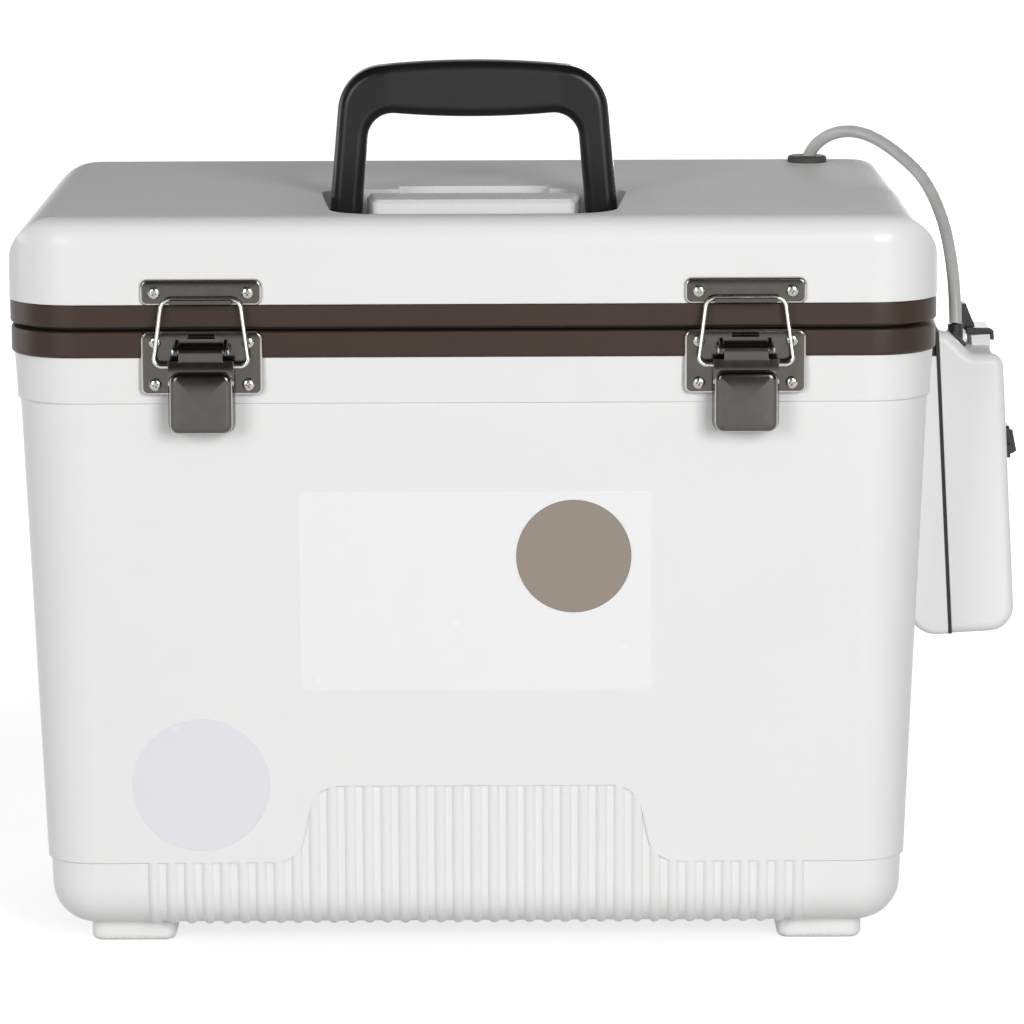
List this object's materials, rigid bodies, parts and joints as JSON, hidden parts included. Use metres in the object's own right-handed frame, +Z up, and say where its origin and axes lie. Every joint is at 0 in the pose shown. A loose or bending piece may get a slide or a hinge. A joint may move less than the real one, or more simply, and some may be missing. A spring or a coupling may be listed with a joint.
{
  "type": "insulated live-bait box with air pump",
  "caption": "Insulated box for live bait: tapered foam-filled case, hinged lid with fold-down handle, draw latches and a battery air pump with its hose.",
  "frame": {"origin": "centre of the case's footprint, on the surface that the feet stand on", "axes": "+Z up, +X to the pump side, +Y to the hinge side"},
  "size_m": [0.475, 0.289, 0.412],
  "materials": {
    "white_moulding": "semi-gloss moulded",
    "liner_moulding": "semi-gloss moulded",
    "foam": "rigid foam",
    "brown_band": "satin moulded",
    "black_nickel": "black nickel plate",
    "bright_steel": "nickel plate",
    "hinge_steel": "dark nickel plate",
    "black_plastic": "satin moulded",
    "grip_plastic": "fine grained",
    "black_rubber": "matte",
    "grommet_rubber": "matte",
    "hose_silicone": "milky translucent",
    "stone": "sintered grains",
    "label_film": "clear film",
    "cell_wrap": "printed sleeve without text",
    "motor_steel": "plain",
    "grey_plastic": "moulded"
  },
  "bodies": {
    "case": {"case_shell": "white_moulding", "case_liner": "liner_moulding", "case_foam": "foam", "case_rim_band": "brown_band", "feet": "white_moulding", "front_labels": "label_film", "left_latch_base_plate": "black_nickel", "right_latch_base_plate": "black_nickel", "left_latch_pin": "black_nickel", "right_latch_pin": "black_nickel", "latch_base_screws": "bright_steel", "hinge_case_leaves": "hinge_steel", "hinge_pins": "bright_steel", "case_hinge_screws": "bright_steel", "pump_bracket": "black_plastic", "pump_bracket_screws": "bright_steel", "pump_hanger": "black_plastic", "pump_inner_shell": "white_moulding", "pump_outer_shell": "white_moulding", "pump_seal": "black_rubber", "pump_screws": "bright_steel", "pump_latch_pin": "bright_steel", "pump_nipple": "black_plastic", "pump_switch_housing": "black_plastic", "pump_batteries": "cell_wrap", "pump_motor": "motor_steel", "pump_air_unit": "grey_plastic", "air_hose": "hose_silicone"},
    "lid": {"lid_shell": "white_moulding", "lid_foam": "foam", "lid_liner": "liner_moulding", "lid_band": "brown_band", "lid_gasket": "black_rubber", "handle_pins": "bright_steel", "left_latch_keeper": "black_nickel", "right_latch_keeper": "black_nickel", "keeper_screws": "bright_steel", "hinge_lid_leaves": "hinge_steel", "lid_hinge_screws": "bright_steel", "hose_grommet": "grommet_rubber", "inner_air_hose": "hose_silicone", "air_stone": "stone"},
    "handle": {"handle": "grip_plastic"},
    "left_lever": {"left_latch_lever": "black_nickel"},
    "left_bail": {"left_latch_bail": "bright_steel"},
    "right_lever": {"right_latch_lever": "black_nickel"},
    "right_bail": {"right_latch_bail": "bright_steel"},
    "switch_rocker": {"pump_switch": "black_plastic"},
    "pump_catch": {"pump_latch": "black_plastic"}
  },
  "joints": [
    {"name": "lid_hinge", "type": "hinge", "parent": "case", "child": "lid", "pos_m": [0, 0.1385, 0.29685], "axis": [-1, 0, 0], "range_deg": [0, 100], "deforming": ["air_hose"]},
    {"name": "handle_pivot", "type": "hinge", "parent": "lid", "child": "handle", "pos_m": [0, -0.038, 0.335], "axis": [1, 0, 0], "range_deg": [0, 90]},
    {"name": "left_lever_pivot", "type": "hinge", "parent": "case", "child": "left_lever", "pos_m": [-0.1245, -0.142, 0.288], "axis": [-1, 0, 0], "range_deg": [0, 120]},
    {"name": "left_bail_pivot", "type": "hinge", "parent": "left_lever", "child": "left_bail", "pos_m": [-0.1245, -0.141, 0.281], "axis": [1, 0, 0], "range_deg": [0, 105.6]},
    {"name": "right_lever_pivot", "type": "hinge", "parent": "case", "child": "right_lever", "pos_m": [0.1245, -0.142, 0.288], "axis": [-1, 0, 0], "range_deg": [0, 120]},
    {"name": "right_bail_pivot", "type": "hinge", "parent": "right_lever", "child": "right_bail", "pos_m": [0.1245, -0.141, 0.281], "axis": [1, 0, 0], "range_deg": [0, 105.6]},
    {"name": "switch_pivot", "type": "hinge", "parent": "case", "child": "switch_rocker", "pos_m": [0.25556, -0.028, 0.22761], "axis": [0, 1, 0], "range_deg": [0, 16]},
    {"name": "pump_catch_pivot", "type": "hinge", "parent": "case", "child": "pump_catch", "pos_m": [0.234, 0, 0.27802], "axis": [0, -1, 0], "range_deg": [0, 50]}
  ],
  "couplings": [
    {"joint": "left_bail_pivot", "follows": "left_lever_pivot", "ratio": 0.88},
    {"joint": "right_bail_pivot", "follows": "right_lever_pivot", "ratio": 0.88}
  ]
}
